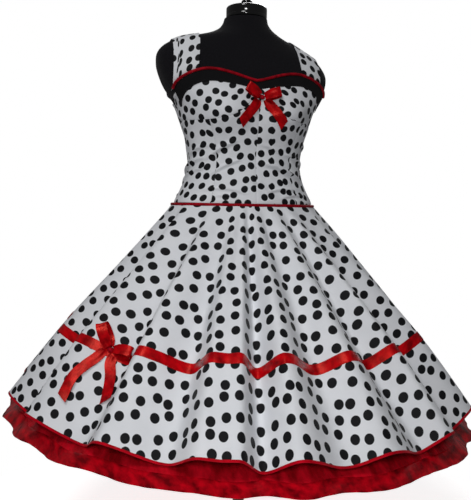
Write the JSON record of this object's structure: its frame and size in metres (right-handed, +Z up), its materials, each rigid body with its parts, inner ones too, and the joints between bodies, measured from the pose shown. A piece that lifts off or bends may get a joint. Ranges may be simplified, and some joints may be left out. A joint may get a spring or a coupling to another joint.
{
  "type": "petticoat dress on dress form",
  "caption": "Sleeveless sweetheart dress with wide straps, a flared folded skirt over a flounced petticoat and satin bows, on a form and pole stand.",
  "frame": {"origin": "on the floor, under the middle of the stand's round base and of the whole", "axes": "+Z up; the front of the dress faces -Y; +X is the wearer's left, the viewer's right"},
  "size_m": [1.1844, 1.1814, 1.4736],
  "materials": {
    "cotton_sateen": "white cotton sateen printed with black dots",
    "black_cotton": "matte black cotton",
    "piping_satin": "dark red satin piping",
    "red_satin": "glossy red satin ribbon",
    "organza": "crisp red organza with a sheen",
    "black_jersey": "matte charcoal knit",
    "black_lacquer": "gloss black",
    "stand_steel": "satin black powder coat"
  },
  "bodies": {
    "root": {"bodice_back_left": "cotton_sateen", "bodice_back_right": "cotton_sateen", "cup_left": "cotton_sateen", "cup_right": "cotton_sateen", "midriff_center_left": "cotton_sateen", "midriff_center_right": "cotton_sateen", "midriff_side_left": "cotton_sateen", "midriff_side_right": "cotton_sateen", "strap_left": "cotton_sateen", "strap_right": "cotton_sateen", "skirt_front": "cotton_sateen", "skirt_back": "cotton_sateen", "neckline_band_left": "black_cotton", "neckline_band_right": "black_cotton", "neckline_piping": "piping_satin", "hip_piping_front": "piping_satin", "hip_piping_back": "piping_satin", "skirt_ribbon": "red_satin", "hem_binding": "red_satin", "flounce_satin_edge": "red_satin", "bodice_bow_knot": "red_satin", "bodice_bow_loop_left": "red_satin", "bodice_bow_loop_right": "red_satin", "bodice_bow_tail_left": "red_satin", "bodice_bow_tail_right": "red_satin", "skirt_bow_knot": "red_satin", "skirt_bow_loop_left": "red_satin", "skirt_bow_loop_right": "red_satin", "skirt_bow_tail_left": "red_satin", "skirt_bow_tail_right": "red_satin", "petticoat_yoke_front": "organza", "petticoat_yoke_back": "organza", "flounce_front": "organza", "flounce_back": "organza", "form_torso": "black_jersey", "form_neck_cap": "black_lacquer", "form_knob": "black_lacquer", "stand_base": "stand_steel", "stand_collar": "stand_steel", "stand_pole": "stand_steel"}
  },
  "joints": []
}
